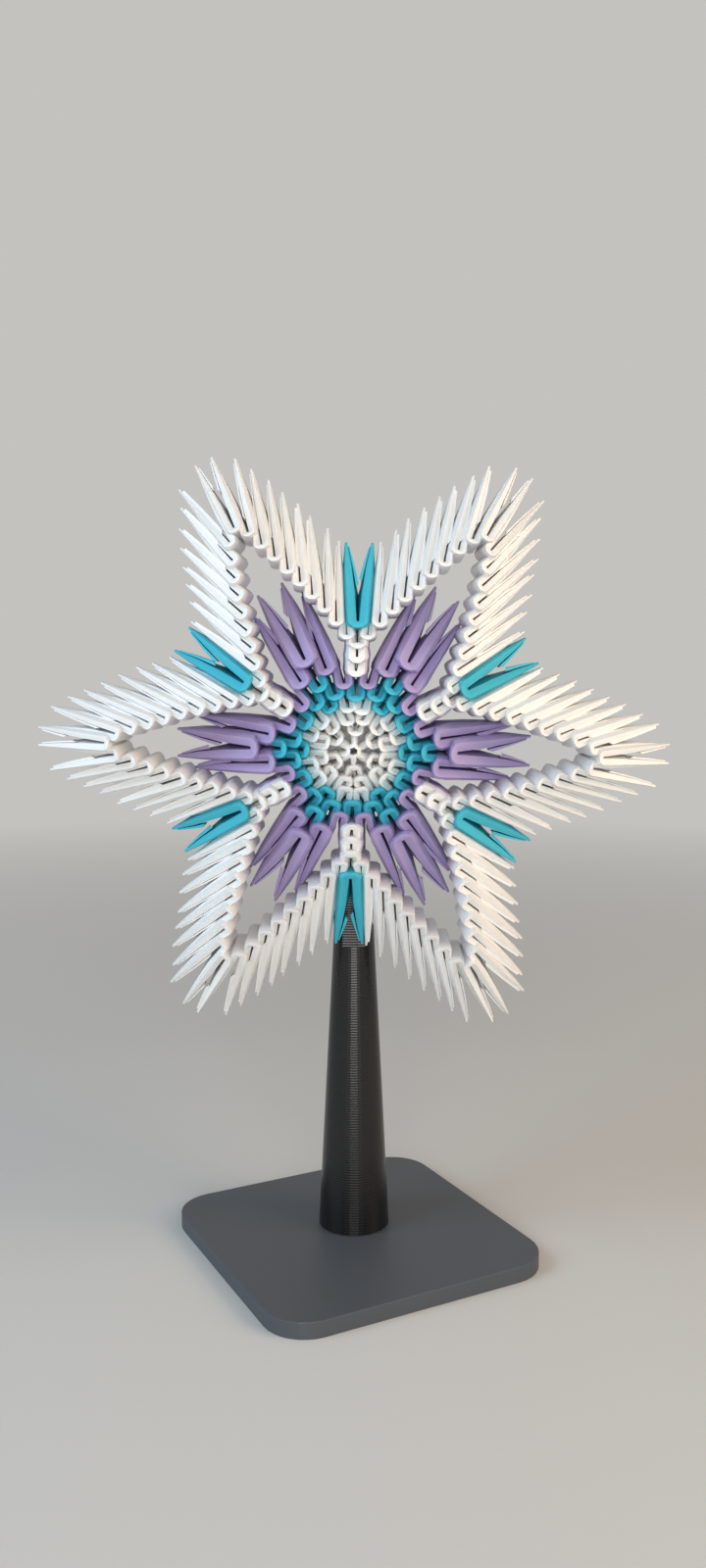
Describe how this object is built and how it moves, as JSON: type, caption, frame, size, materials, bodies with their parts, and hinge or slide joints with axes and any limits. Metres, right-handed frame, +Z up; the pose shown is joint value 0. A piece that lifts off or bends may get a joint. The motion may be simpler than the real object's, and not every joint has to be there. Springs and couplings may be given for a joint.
{
  "type": "modular origami star",
  "caption": "Star of interlocked folded paper units, held upright by a tapered pole on a square base plate with rounded corners.",
  "frame": {"origin": "centre of the base plate's underside", "axes": "+Z up, the star faces -Y, +X to the viewer's right"},
  "size_m": [0.1908, 0.1122, 0.243],
  "materials": {
    "white_paper": "matte",
    "blue_paper": "matte",
    "purple_paper": "matte",
    "black_plastic": "gloss",
    "grey_plastic": "matte"
  },
  "bodies": {
    "root": {"arm_1_lower_chain": "white_paper", "arm_1_tip": "white_paper", "arm_1_upper_chain": "white_paper", "arm_2_lower_chain": "white_paper", "arm_2_tip": "white_paper", "arm_2_upper_chain": "white_paper", "arm_3_lower_chain": "white_paper", "arm_3_tip": "white_paper", "arm_3_upper_chain": "white_paper", "arm_4_lower_chain": "white_paper", "arm_4_tip": "white_paper", "arm_4_upper_chain": "white_paper", "arm_5_lower_chain": "white_paper", "arm_5_tip": "white_paper", "arm_5_upper_chain": "white_paper", "arm_6_lower_chain": "white_paper", "arm_6_tip": "white_paper", "arm_6_upper_chain": "white_paper", "base_plate": "grey_plastic", "blue_accent_1": "blue_paper", "blue_accent_2": "blue_paper", "blue_accent_3": "blue_paper", "blue_accent_4": "blue_paper", "blue_accent_5": "blue_paper", "blue_accent_6": "blue_paper", "blue_ring": "blue_paper", "pole": "black_plastic", "purple_petal_1": "purple_paper", "purple_petal_2": "purple_paper", "purple_petal_3": "purple_paper", "purple_petal_4": "purple_paper", "purple_petal_5": "purple_paper", "purple_petal_6": "purple_paper", "white_column_1": "white_paper", "white_column_2": "white_paper", "white_column_3": "white_paper", "white_column_4": "white_paper", "white_column_5": "white_paper", "white_column_6": "white_paper", "white_core": "white_paper"}
  },
  "joints": []
}
